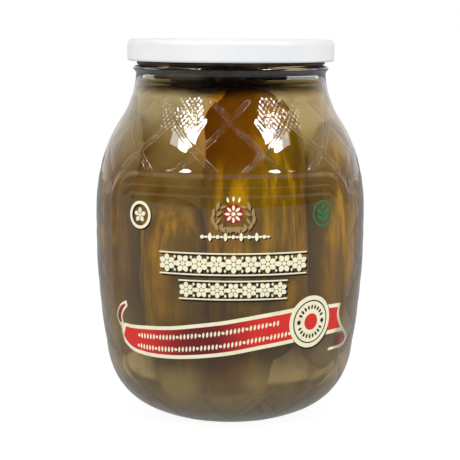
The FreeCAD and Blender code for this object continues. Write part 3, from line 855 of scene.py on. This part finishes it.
def makePickleMaterial():
    # soft amber flesh with long golden streaks and brown patches, hazing over with depth in the brine,
    # paler towards the foot and the sides, with painted shade in dark brown at the top left of the front,
    # below the raft, and low in the middle of the front
    material, tree = startMaterial("pickleSkin")
    where, x, y, z = pointNodes(tree)
    turn, up = turnAndUp(tree, x, y, z)
    stretched = makeNode(tree, "Mapping", {"Vector": where, "Scale": (1.0, 1.0, 0.13)}).outputs[0]
    streaks = noise(tree, stretched, 190.0, 4.0, 0.6)
    lowest, highest, fewer = pickleLook["streaksUp"]
    golden = times(tree, ramp(tree, streaks, *pickleLook["streaks"]),
                   ramp(tree, up, lowest, highest, fewer, 1.0))
    base = blend(tree, golden, pickleLook["amber"], pickleLook["gold"])
    blots = ramp(tree, noise(tree, where, 38.0), *pickleLook["blots"], 0.0, pickleLook["blotsMost"])
    base = blend(tree, blots, base, pickleLook["brown"])
    flat = makeNode(tree, "CombineXYZ", {0: x, 1: y}).outputs[0]
    away = makeNode(tree, "VectorMath", {0: flat}, operation="LENGTH").outputs["Value"]
    over = reckon(tree, "MAXIMUM", reckon(tree, "SUBTRACT", up, pickleLook["shoulderUp"]), 0.0)
    front = fall(tree, reckon(tree, "ABSOLUTE", turn), *pickleLook["frontTurn"])
    notFront = reckon(tree, "SUBTRACT", 1.0, front)
    away = reckon(tree, "ADD", times(tree, away, 1 / mm),
                  times(tree, over, front, pickleLook["shoulderLean"]))
    shoulder = times(tree, ramp(tree, up, *pickleLook["shoulderFrom"]), notFront)
    haze = blend(tree, shoulder, pickleLook["haze"], pickleLook["shoulder"])
    base = blend(tree, ramp(tree, away, *pickleLook["hazeFrom"]), haze, base)
    # painted shade: dark brown at the top left of the front, below the raft
    topLeft = times(tree, ramp(tree, up, *pickleLook["topUp"]),
                    fall(tree, x, *pickleLook["topAcross"]), front)
    base = blend(tree, topLeft, base, pickleLook["top"])
    lowSide = times(tree, fall(tree, up, *pickleLook["lowSideUp"]), notFront)
    low = reckon(tree, "MAXIMUM", lowSide, fall(tree, up, *pickleLook["lowUp"]))
    base = blend(tree, low, base, pickleLook["low"])
    aside = reckon(tree, "ABSOLUTE", reckon(tree, "ADD", x, 0.002))
    shade = times(tree, fall(tree, aside, *pickleLook["shadeAcross"]),
                  ramp(tree, up, *pickleLook["shadeUp"]), front, fall(tree, up, *pickleLook["shadeEnd"]))
    base = blend(tree, shade, base, pickleLook["top"])
    endOpaque(tree, base, 0.6, 0.0, bump(tree, streaks, 0.3, 0.0006))
    return material


# the raft is painted shade: a near-black floating cake that darkens the middle of the headspace under the
# lid
raftForm = {
    "middle": (-4.0, -4.0),   # across and back of the axis
    "up": 138.4,
    "size": (26.0, 33.0, 4.6),
    "rows": 26,
    "columns": 110,
    "colour": (0.010, 0.005, 0.002, 1),
    "fleck": (0.045, 0.026, 0.010, 1),
    "flecks": (0.52, 0.64),
    "left": (0.12, 0.095, 0.065, 1),
    "leftAcross": (-0.016, -0.007, 0.8),
}


def raftRings():
    # painted shade: a flat lumpy near-black cake afloat on the brine that darkens the middle of the
    # headspace: an oval whose reach waves round the turn
    rise = np.linspace(-88, 88, raftForm["rows"])[:, None]
    turn = np.radians(np.linspace(0, 360, raftForm["columns"], endpoint=False))[None]
    reach = np.cos(np.radians(rise)) ** 0.55 * (1 + 0.10 * waviness(turn / 2, turn, 31, 7, 1, 5))
    crust = 1 + 0.28 * waviness(rise / 40, turn * 2, 32, 8, 1, 6)
    wide, deep, thick = raftForm["size"]
    across = raftForm["middle"][0] + wide * reach * np.sin(turn)
    back = raftForm["middle"][1] - deep * reach * np.cos(turn)
    up = raftForm["up"] + thick * np.sin(np.radians(rise)) * crust
    return insideWall(np.stack([across, back, up + 0 * across], -1))


def makeRaftMaterial():
    # nearly black painted shade with paler flecks, paler at its left
    material, tree = startMaterial("headspaceShadeCake")
    where, x = pointNodes(tree)[:2]
    flecks = noise(tree, where, 420.0)
    base = blend(tree, ramp(tree, flecks, *raftForm["flecks"]), raftForm["colour"], raftForm["fleck"])
    base = blend(tree, fall(tree, x, *raftForm["leftAcross"]), base, raftForm["left"])
    endOpaque(tree, base, 0.7, 0.0, bump(tree, flecks, 0.6, 0.0008))
    return material


# the near-black raft of painted shade in the headspace
addPiece("headspaceShadeRaft", *closeRings(raftRings()), makeRaftMaterial(), "brine")
murkRings = turnedRings(*murkProfile(), murkLook["columns"], murkPush)
addPiece("murk", *closeRings(murkRings), makeMurkMaterial(), "brine")
pickleMaterial = makePickleMaterial()
for pickleName, spec in pickles.items():
    addPiece("pickle_" + pickleName, *closeRings(pickleRings(spec)), pickleMaterial, "brine")
print("pickles made")


lidForm = {
    "outer": 42.0,
    "top": 153.0,
    "round": 2.1,
    "wall": 0.6,
    "curlUp": 145.2,
    "curlAcross": 41.0,
    "curlRound": 1.0,
    "curlTurn": -235,
    "dip": 0.9,
    # the top from its middle outwards: across, and height above the dip
    "button": [(0.6, 0.5), (6, 0.5), (12, 0.5), (13.6, 0.46), (14.4, 0.25), (15.2, 0.04), (16.2, 0),
               (20, 0), (26, 0), (31.6, 0), (32.2, 0.04), (32.9, 0.45), (33.5, 0.85), (34.1, 0.9)],
    "land": [36.5, 38.6],
    "columns": 288,
    "lugReach": 1.9,
    "lugSpan": 12.0,
    "lugTurn": 30.0,
    "middle": 39.0,          # inside this the underside is the top's, outside it the skirt's
    "white": (0.93, 0.935, 0.94, 1),
    "cool": (0.87, 0.89, 0.91, 1),
    "gloss": (0.30, 0.42),
    # the liner is brown-gold lacquer painted dark as the shade inside the lid
    "shadedLiner": (0.075, 0.045, 0.018, 1),
    "shadedLinerDark": (0.035, 0.020, 0.008, 1),
}


def lidProfile():
    # from the middle of the underside out, round the curl, up the skirt and back over the top
    top, wall, outer, lidRound = (lidForm[name] for name in ("top", "wall", "outer", "round"))
    curlUp = lidForm["curlUp"]
    over = np.array(lidForm["button"]) + [0, top - lidForm["dip"]]
    land = [[across, top] for across in lidForm["land"]]
    bend = np.radians(np.linspace(0, 90, 9))

    def corner(middle, radius):
        # a quarter round from the top down to the skirt
        return np.stack([middle + radius * np.sin(bend), top - lidRound + radius * np.cos(bend)], 1)

    skirtUp = np.linspace(top - lidRound - 0.4, curlUp + 0.2, 10)
    around = np.radians(np.linspace(0, lidForm["curlTurn"], 20))
    curl = np.stack([lidForm["curlAcross"] + lidForm["curlRound"] * np.cos(around),
                     curlUp + lidForm["curlRound"] * np.sin(around)], 1)
    inUp = np.linspace(curlUp + 1.1, top - lidRound - 0.2, 6)
    line = np.concatenate([over, land, corner(outer - lidRound, lidRound),
                           np.stack([0 * skirtUp + outer, skirtUp], 1), curl,
                           np.stack([0 * inUp + outer - wall, inUp], 1),
                           corner(outer - lidRound, lidRound - wall)[::-1], over[::-1] - [0, wall]])
    return line[::-1, 0], line[::-1, 1]


def lidPush(turn, reach, up):
    # six lugs pressed inwards from the curl
    within = np.abs(wrapped(turn - lidForm["lugTurn"], relief["threadPitch"]))
    half = lidForm["lugSpan"] / 2
    span = 1 - smoothStep(within, half - 1.5, half + 0.5)
    inner = (reach < lidForm["curlAcross"] - 0.3) & (up < lidForm["curlUp"] + 0.95)
    inner = inner & (reach > lidForm["middle"])
    band = 1 - smoothStep(np.abs(up - lidForm["curlUp"]), 0.35, 0.85)
    return np.where(inner, -lidForm["lugReach"] * span * band, 0.0)


def makeLidMaterial():
    # white lacquer on tin, with a faint cool unevenness and fine orange peel
    material, tree = startMaterial("lidLacquer")
    where = pointNodes(tree)[0]
    cloud = noise(tree, where, 45.0)
    base = blend(tree, ramp(tree, cloud, 0.35, 0.7), lidForm["white"], lidForm["cool"])
    roughness = ramp(tree, cloud, 0.3, 0.7, *lidForm["gloss"])
    endOpaque(tree, base, roughness, normal=bump(tree, noise(tree, where, 1400.0, 2.0), 0.12, 0.0002))
    return material


def makeLidLiner():
    # brown-gold lacquer on the inside of the tin, painted much darker than the lacquer is, as the shade
    # inside the closed lid
    material, tree = startMaterial("shadedLidLiner")
    cloud = ramp(tree, noise(tree, pointNodes(tree)[0], 90.0), 0.35, 0.7)
    endOpaque(tree, blend(tree, cloud, lidForm["shadedLiner"], lidForm["shadedLinerDark"]), 0.35)
    return material


def isInsideLid(middles):
    # the underside, the skirt's inner face and the inner half of the curl
    away, up = awayFromAxis(middles), middles[:, 2]
    top, lidRound, middle = lidForm["top"], lidForm["round"], lidForm["middle"]
    corner = np.hypot(np.maximum(away - (lidForm["outer"] - lidRound), 0),
                      np.maximum(up - (top - lidRound), 0))
    skirt = (corner < lidRound - 0.3) & (away > middle) & (up < top - 0.3)
    curl = (up < lidForm["curlUp"] + 0.3) & (away > lidForm["curlAcross"] - 0.4)
    under = (away <= middle) & (up < top - lidForm["dip"] - 0.08)
    landUnder = (away <= middle) & (away > 32.6) & (up < top - 0.3)
    return (skirt & ~curl) | under | landUnder


lidRings = turnedRings(*lidProfile(), lidForm["columns"], lidPush)
lidPiece = addPiece("lidShell", *closeRings(lidRings), makeLidMaterial(), "lid_paint",
                    second=makeLidLiner(), secondFaces=isInsideLid)
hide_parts("lid")
print("lid made")


printLook = {
    "cream": (0.98, 0.93, 0.66, 1),
    "red": (0.74, 0.030, 0.022, 1),
    "redDark": (0.36, 0.018, 0.024, 1),
    "shade": (0.020, 0.008, 0.004, 1),
    "green": (0.020, 0.22, 0.065, 1),
    "bronze": (0.40, 0.27, 0.11, 1),
    "ink": (0.030, 0.024, 0.020, 1),
}
crimson = (0.17, 0.013, 0.016, 1)
crimsonAcross = (0.003, 0.024)
printBack = -0.06            # how far the print reaches into the glass


def makePaint(name, colour):
    # screen-printed enamel: the colour with slight mottling and a fine uneven face, and red that turns
    # crimson over the dark of the jar left of its middle
    material, tree = startMaterial(name)
    where, x = pointNodes(tree)[:2]
    mottle = noise(tree, where, 240.0)
    thin = tuple(0.90 * part for part in colour[:3]) + (1,)
    base = blend(tree, ramp(tree, mottle, 0.45, 0.75), colour, thin)
    if name == "printRed":
        aside = reckon(tree, "ABSOLUTE", reckon(tree, "ADD", x, 0.011))
        base = blend(tree, ramp(tree, aside, *crimsonAcross), crimson, base)
    endOpaque(tree, base, 0.45, 0.3, bump(tree, mottle, 0.15, 0.0001))
    return material


def onPanel(across, up, lift):
    # a point of the flat layout wrapped on the front panel, lift above its face
    turn = across / jarForm["girth"]
    away = wallRadius(up) - relief["panelDepth"] + lift
    return np.stack([away * np.sin(turn), -away * np.cos(turn), up], -1)


def printPiece(name, patches, lift, material):
    # each patch (across, up, closed) as a thin closed shell between the glass and lift
    points, faces = [], []
    start = 0
    for across, up, closed in patches:
        rows, columns = across.shape
        count = rows * columns
        points += [onPanel(across, up, height).reshape(-1, 3) for height in (lift, printBack)]
        here = np.arange(columns if closed else columns - 1)
        foot = np.stack([here, (here + 1) % columns], 1)
        edges = [foot, foot[:, ::-1] + (rows - 1) * columns]
        if not closed:
            side = np.arange(rows - 1) * columns
            edges.append(np.stack([side + columns, side], 1))
            edges.append(np.stack([side, side + columns], 1) + columns - 1)
        front, edges = gridFaces(rows, columns, closed), np.concatenate(edges)
        if not facesOut(across, up):
            front, edges = front[:, ::-1], edges[:, ::-1]
        back = front[:, ::-1] + count
        walls = np.concatenate([edges[:, ::-1], edges + count], 1)
        faces += (np.concatenate([front, back, walls]) + start).tolist()
        start += 2 * count
    return addPiece(name, np.concatenate(points), faces, material, "glass", smooth=False)


def facesOut(across, up):
    # whether a patch's columns and rows turn the way that faces outwards
    middle = across.shape[0] // 2
    alongColumns = across[0, 1] - across[0, 0], up[0, 1] - up[0, 0]
    alongRows = across[middle, 0] - across[0, 0], up[middle, 0] - up[0, 0]
    return alongColumns[0] * alongRows[1] - alongColumns[1] * alongRows[0] > 0


def disc(across, up, radius, hole=0.0, columns=48):
    # a ring between two radii, or a full disc, about a middle
    around = np.linspace(0, 2 * math.pi, columns, endpoint=False)
    reach = np.linspace(radius, max(hole, 0.001), 4)[:, None]
    return across + reach * np.sin(around), up - reach * np.cos(around), True


def leaf(across, up, length, width, lean=0.0, columns=13):
    # a pointed oval about a middle, its long way leaning by lean degrees from upright
    along = np.linspace(-1, 1, columns)
    wide = np.linspace(-1, 1, 3)[:, None] * width / 2 * (1 - along ** 2) ** 0.8
    far = np.repeat(along[None] * length / 2, 3, 0)
    lean = math.radians(lean)
    return (across + wide * math.cos(lean) + far * math.sin(lean),
            up - wide * math.sin(lean) + far * math.cos(lean), False)


def rayed(across, up, reach, turns, length, width):
    # leaves about a middle, each pointing away from it
    return [leaf(across + reach * math.sin(math.radians(turn)),
                 up + reach * math.cos(math.radians(turn)), length, width, turn) for turn in turns]


def bar(across, up, wide, high):
    # an upright block about a middle
    along = np.linspace(-wide / 2, wide / 2, max(2, int(wide / 2) + 2))
    rows = np.linspace(-high / 2, high / 2, 2)[:, None]
    return across + along + 0 * rows, up + rows + 0 * along, False


def band(lineLow, lineHigh, rows=4):
    # the strip between two lines of as many points
    share = np.linspace(0, 1, rows)[:, None, None]
    both = np.asarray(lineLow)[None] * (1 - share) + np.asarray(lineHigh)[None] * share
    return both[..., 0], both[..., 1], False


def curve(points, count=60):
    # a smooth line through points, by parabolas blended along their chords
    points = np.asarray(points, float)
    run = np.concatenate([[0], np.cumsum(np.hypot(*np.diff(points, axis=0).T))])
    slope = np.gradient(points, run, axis=0)
    at = np.linspace(0, run[-1], count)
    index = np.clip(np.searchsorted(run, at, "right") - 1, 0, len(run) - 2)
    step = run[index + 1] - run[index]
    t = ((at - run[index]) / step)[:, None]
    step = step[:, None]
    first, second = points[index], points[index + 1]
    return ((2 * t ** 3 - 3 * t ** 2 + 1) * first + (t ** 3 - 2 * t ** 2 + t) * step * slope[index]
            + (-2 * t ** 3 + 3 * t ** 2) * second + (t ** 3 - t ** 2) * step * slope[index + 1])


def moved(patches, across, up):
    # the same patches shifted on the layout
    return [(a + across, u + up, closed) for a, u, closed in patches]


def shrunk(low, high, edge):
    # the two lines of a band moved towards each other by edge
    low, high = np.asarray(low), np.asarray(high)
    between = high - low
    size = np.hypot(between[:, 0], between[:, 1])[:, None]
    return low + between / size * edge, high - between / size * edge


ribbonForm = {
    "border": 1.55,
    "low": [(-53.2, 39.4), (-51.8, 34.0), (-47.5, 31.2), (-39.8, 29.9), (-25.6, 29.7), (-13.6, 30.6),
            (0.3, 32.3), (11.9, 34.3), (29.0, 36.6)],
    "high": [(-52.6, 40.6), (-50.4, 41.4), (-46.0, 41.4), (-35.6, 42.0), (-24.8, 42.8), (-13.1, 44.4),
             (-3.7, 45.7), (11.4, 48.2), (27.0, 50.2)],
    "foldOut": [(-53.6, 39.8), (-55.3, 43.8), (-52.8, 48.2), (-47.6, 50.9)],
    "foldIn": [(-50.9, 40.8), (-51.5, 43.6), (-50.0, 46.2), (-47.0, 48.6)],
    "foldBorder": 0.9,
    "tailOut": [(53.4, 49.6), (52.7, 46.4), (55.2, 41.2), (58.8, 38.2), (61.8, 36.2), (62.9, 34.4),
                (61.7, 32.5), (58.9, 31.5), (53.2, 31.0), (47.6, 31.0)],
    "tailIn": [(51.9, 49.4), (51.2, 46.3), (53.5, 41.0), (56.8, 38.1), (59.9, 35.9), (60.9, 34.6),
               (60.2, 33.5), (58.2, 32.7), (53.2, 32.2), (48.2, 32.0)],
    "endEdge": [(53.0, 49.7), (52.3, 46.4), (54.8, 41.1), (57.8, 37.9)],
    "endFace": [(51.6, 48.2), (51.2, 46.2), (53.2, 41.4), (54.8, 39.5)],
    "backLow": [(51.8, 32.4), (54.5, 32.5), (58.2, 32.9), (60.0, 33.7), (60.7, 34.7)],
    "backHigh": [(54.6, 37.0), (56.2, 37.3), (57.4, 37.1), (58.6, 36.6), (59.7, 35.9)],
    "edgeStart": [(43.0, 50.0), (43.0, 37.8)],   # behind the medallion
    "faceStart": [(43.0, 48.5), (43.0, 39.4)],
    "rows": [(0.66, -41.0, 20.0), (0.29, -42.0, 26.5)],   # share of the band's height, from, to
    "pitch": 1.6,
}
titleForm = {
    "rows": [(1.5, 68.0, 60.0, 8.4, 9), (1.4, 57.9, 43.6, 7.3, 7)],   # middle, height, wide, high, motifs
    "bead": (1.8, 1.2),
    "endBead": (1.3, 0.9),
    "endStep": 0.30,
    "rule": 0.55,
    "shade": (0.75, -0.75),
    "nameUp": 78.6,
    "nameFrom": -10.7,
    "namePitch": 3.0,
    "nameCount": 9,
    "nameShade": (0.45, -0.45),
}
medallionForm = {
    "across": 35.3,
    "up": 44.1,
    "radius": 10.4,
    "ring": 8.4,
    "ringHalf": 0.25,
    "core": 3.3,
    "beads": (5.9, 1.9, 0.95),   # distance from the middle, length, width
    "beadTurns": [*range(-64, 65, 16), *range(116, 245, 16)],
    "diamonds": (6.0, 2.0, 1.7),
}
crestForm = {
    "across": 1.3,
    "up": 87.4,
    "ground": 3.7,
    "petals": (2.3, 8, 2.3, 1.1),   # distance from the middle, count, length, width
    "core": 0.8,
    "sprays": (7.0, 6.0, 6),        # half width and half height of the wreath, leaves on a side
    "stem": (81.9, 9.0, 0.8),
    "bud": (93.1, 2.2, 0.9),
    "shade": (0.4, -0.4),
}
markForm = {
    "left": (-38.0, 85.6),
    "leftRing": (5.4, 4.2),
    "leftShade": (5.5, 4.0),
    "right": (39.4, 86.5),
    "rightRing": (5.1, 4.45),
    "sprigUp": (84.9, 87.2),
}

paints = {name: makePaint("print" + name.capitalize(), colour) for name, colour in printLook.items()}


def makeRibbon():
    # cream band under a narrower red one, with a fold at the left end and a curled tail at the right
    low, high = curve(ribbonForm["low"]), curve(ribbonForm["high"])
    tail = band(curve(ribbonForm["tailOut"]), curve(ribbonForm["tailIn"]))
    foldOut, foldIn, endEdge, endFace, backLow, backHigh, edgeStart, faceStart = (
        curve(ribbonForm[name], 20) for name in (
            "foldOut", "foldIn", "endEdge", "endFace", "backLow", "backHigh", "edgeStart", "faceStart"))
    printPiece("ribbonEdge", [band(low, high), band(edgeStart, endEdge), band(foldOut, foldIn), tail],
               0.12, paints["cream"])
    innerLow, innerHigh = shrunk(low, high, ribbonForm["border"])
    printPiece("ribbonFace", [band(innerLow[3:], innerHigh[3:]), band(faceStart, endFace)],
               0.17, paints["red"])
    foldOut, foldIn = shrunk(foldOut, foldIn, ribbonForm["foldBorder"])
    printPiece("ribbonBack", [band(foldOut[2:-2], foldIn[2:-2]), band(backLow, backHigh)],
               0.17, paints["redDark"])
    marks = []
    for height, first, last in ribbonForm["rows"]:
        for number, at in enumerate(np.arange(first, last, ribbonForm["pitch"])):
            foot, head = (np.interp(at, line[:, 0], line[:, 1]) for line in (low, high))
            up = foot + (head - foot) * height
            marks.append(leaf(at, up, 2.3, 0.95, 8, 9) if number % 6 else disc(at, up, 0.62, 0, 16))
    printPiece("ribbonMarks", marks, 0.22, paints["cream"])


def makeMedallion():
    # cream disc with a dark ring, beads round it, two diamonds and a red middle
    across, up, radius = (medallionForm[name] for name in ("across", "up", "radius"))
    ring, half = medallionForm["ring"], medallionForm["ringHalf"]
    reach, length, width = medallionForm["beads"]
    beads = rayed(across, up, reach, medallionForm["beadTurns"], length, width)
    reach, length, width = medallionForm["diamonds"]
    beads += [leaf(across + side * reach, up, length, width) for side in (-1, 1)]
    printPiece("medalShade", [disc(across + 0.5, up - 0.5, radius + 0.25)], 0.15, paints["shade"])
    printPiece("medalDisc", [disc(across, up, radius)], 0.24, paints["cream"])
    printPiece("medalRing", [disc(across, up, ring + half, ring - half)], 0.29, paints["ink"])
    printPiece("medalBeads", beads, 0.29, paints["ink"])
    printPiece("medalCore", [disc(across, up, medallionForm["core"])], 0.30, paints["red"])


def rosette(across, up, radius, petals, turn=0.0):
    # broad petals set round a small round middle
    turns = [turn + index * 360 / petals for index in range(petals)]
    return [disc(across, up, radius * 0.24, 0, 16)] + rayed(
        across, up, radius * 0.63, turns, radius * 0.76, radius * 0.60)


def titleMotifs():
    # a frieze: rosettes in a row with upright beads between them, between two thin rules
    patches = []
    step = titleForm["endStep"]
    for middle, up, wide, high, count in titleForm["rows"]:
        pitch = wide / count
        for index in range(count):
            across = middle - wide / 2 + pitch * (index + 0.5)
            patches += rosette(across, up, high * 0.42, 6, 30 * (index % 2))
            if index < count - 1:
                patches += [leaf(across + pitch / 2, up + part * high, *titleForm[name])
                            for part, name in ((-step, "endBead"), (0.0, "bead"), (step, "endBead"))]
        patches += [bar(middle, up + edge * (high / 2 - 0.1), wide, titleForm["rule"])
                    for edge in (-1, 1)]
    return patches


def makeTitles():
    # the frieze in cream over the same frieze in a dark shade, set a little lower and to the right, and
    # a row of upright leaves and dots above it
    patches = titleMotifs()
    printPiece("titleShade", moved(patches, *titleForm["shade"]), 0.08, paints["shade"])
    printPiece("titleFace", patches, 0.15, paints["cream"])
    small = []
    up, pitch = titleForm["nameUp"], titleForm["namePitch"]
    for index in range(titleForm["nameCount"]):
        across = titleForm["nameFrom"] + pitch * index
        small.append(leaf(across, up, 3.4, 1.5) if index % 2 else disc(across, up, 0.75, 0, 16))
        small.append(leaf(across + pitch / 2, up, 1.6, 0.9, 90))
    printPiece("nameShade", moved(small, *titleForm["nameShade"]), 0.08, paints["shade"])
    printPiece("nameFace", small, 0.15, paints["cream"])


def makeCrest():
    # a rosette between two sprays of leaves on a short stem bar
    middle, up = crestForm["across"], crestForm["up"]
    reach, count, length, width = crestForm["petals"]
    cream = rayed(middle, up, reach, [index * 360 / count for index in range(count)], length, width)
    halfWide, halfHigh, count = crestForm["sprays"]
    gold = []
    for side in (-1, 1):
        for index in range(count):
            turn = 205 - index * 27
            across = middle + side * halfWide * math.sin(math.radians(205 - turn)) * 0.98
            high = up + halfHigh * math.cos(math.radians(turn - 10))
            gold.append(leaf(across + side * 1.1, high, 3.6, 1.35, side * (62 - index * 16)))
            gold.append(leaf(across - side * 1.0, high - 0.3, 2.8, 1.1, side * (10 - index * 16)))
    gold.append(bar(middle, *crestForm["stem"]))
    budUp, length, width = crestForm["bud"]
    for side in (-1, 0, 1):
        cream.append(leaf(middle + 2.2 * side, budUp - 0.4 * abs(side), length, width, 14 * side))
    cream.append(disc(middle, up, crestForm["core"], 0, 20))
    printPiece("crestGround", [disc(middle, up, crestForm["ground"])], 0.09, paints["redDark"])
    printPiece("crestShade", moved(gold, *crestForm["shade"]), 0.07, paints["shade"])
    printPiece("crestLeaves", gold, 0.13, paints["bronze"])
    printPiece("crestFlower", cream, 0.15, paints["cream"])


def makeRoundMarks():
    # a cream ring about a flower on the left, a thin green ring about a sprig on the right
    left = [disc(*markForm["left"], *markForm["leftRing"])] + rosette(*markForm["left"], 2.9, 5)
    shade = [disc(*markForm["left"], *markForm["leftShade"])]
    printPiece("leftMarkShade", moved(shade, *crestForm["shade"]), 0.08, paints["shade"])
    printPiece("leftMark", left, 0.15, paints["cream"])
    across, up = markForm["right"]
    right = [disc(across, up, *markForm["rightRing"]), bar(across, up - 0.9, 0.6, 5.2),
             leaf(across, up + 2.5, 2.6, 1.3)]
    right += [leaf(across + 1.7 * side, height, 3.0, 1.3, 55 * side)
              for side in (-1, 1) for height in markForm["sprigUp"]]
    printPiece("rightMark", right, 0.12, paints["green"])


# a near-black ring painted in as the shade of the gap between the lid's curl and the glass
stainForm = {
    "away": 37.80,           # middle of the ring, in the groove under the lid
    "thick": 0.42,
    "up": 143.55,
    "high": 0.80,
    "rows": 12,
    "columns": 240,
    "colour": (0.030, 0.014, 0.005, 1),
    "edge": (0.110, 0.062, 0.022, 1),
}


def stainRings():
    # a thin ring round the finish, closed on itself, whose height and thickness wander round the turn
    turn = np.radians(np.linspace(0, 360, stainForm["columns"], endpoint=False))
    around = np.radians(np.linspace(0, 360, stainForm["rows"], endpoint=False))[:, None]
    wander = 1 + 0.16 * waviness(turn / 2, turn, 41, 7, 1, 9)
    away = stainForm["away"] + stainForm["thick"] * np.cos(around) * (0.7 + 0.3 * wander)
    up = stainForm["up"] + stainForm["high"] * np.sin(around) * wander
    return np.stack([away * np.sin(turn), -away * np.cos(turn), up], -1).reshape(-1, 3)


def makeStainMaterial():
    # painted shade: a dark brown ring in the groove between glass and lid, standing for the shade of the
    # gap under the lid
    material, tree = startMaterial("paintedGapShade")
    cloud = ramp(tree, noise(tree, pointNodes(tree)[0], 160.0), 0.42, 0.68)
    endOpaque(tree, blend(tree, cloud, stainForm["colour"], stainForm["edge"]), 0.4)
    return material


# the ring of painted shade in the gap under the lid
stain = stainRings()
stainFaces = gridFaces(stainForm["rows"] + 1, stainForm["columns"], True) % len(stain)
addPiece("gapShadeRing", stain, stainFaces.tolist(), makeStainMaterial(), "brine")

makeRibbon()
makeMedallion()
makeTitles()
makeCrest()
makeRoundMarks()
print("print made")
